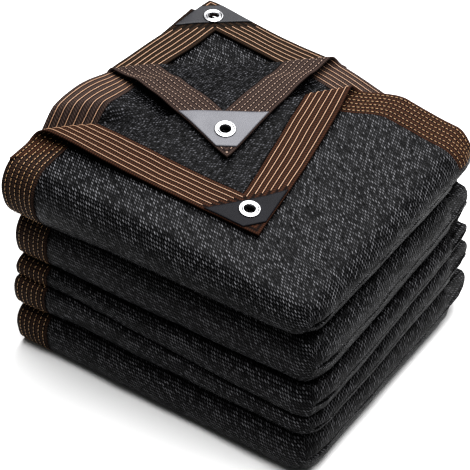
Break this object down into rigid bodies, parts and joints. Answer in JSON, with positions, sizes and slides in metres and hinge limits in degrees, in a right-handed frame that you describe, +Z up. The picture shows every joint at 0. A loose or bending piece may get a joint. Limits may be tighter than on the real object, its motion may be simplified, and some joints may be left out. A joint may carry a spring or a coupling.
{
  "type": "folded shade cloth",
  "caption": "Folded knitted shade cloth: rounded packs, taped edges, and three corners turned out on top, each with a vinyl patch and a metal eyelet.",
  "frame": {"origin": "centre of the outline on the surface the stack rests on", "axes": "+X along the front folds towards the closed right side, +Y from the front folds to the back, +Z up"},
  "size_m": [0.3522, 0.332, 0.2542],
  "materials": {
    "shade_knit": "black knitted polyethylene",
    "edge_tape": "black woven tape with orange stitching",
    "corner_vinyl": "dark grey coated vinyl",
    "eyelet_metal": "satin"
  },
  "bodies": {
    "root": {"cloth": "shade_knit", "side_tape": "edge_tape", "tape_1": "edge_tape", "tape_2": "edge_tape", "tape_3": "edge_tape", "patch_1": "corner_vinyl", "patch_2": "corner_vinyl", "patch_3": "corner_vinyl", "eyelet_1": "eyelet_metal", "eyelet_2": "eyelet_metal", "eyelet_3": "eyelet_metal"}
  },
  "joints": []
}
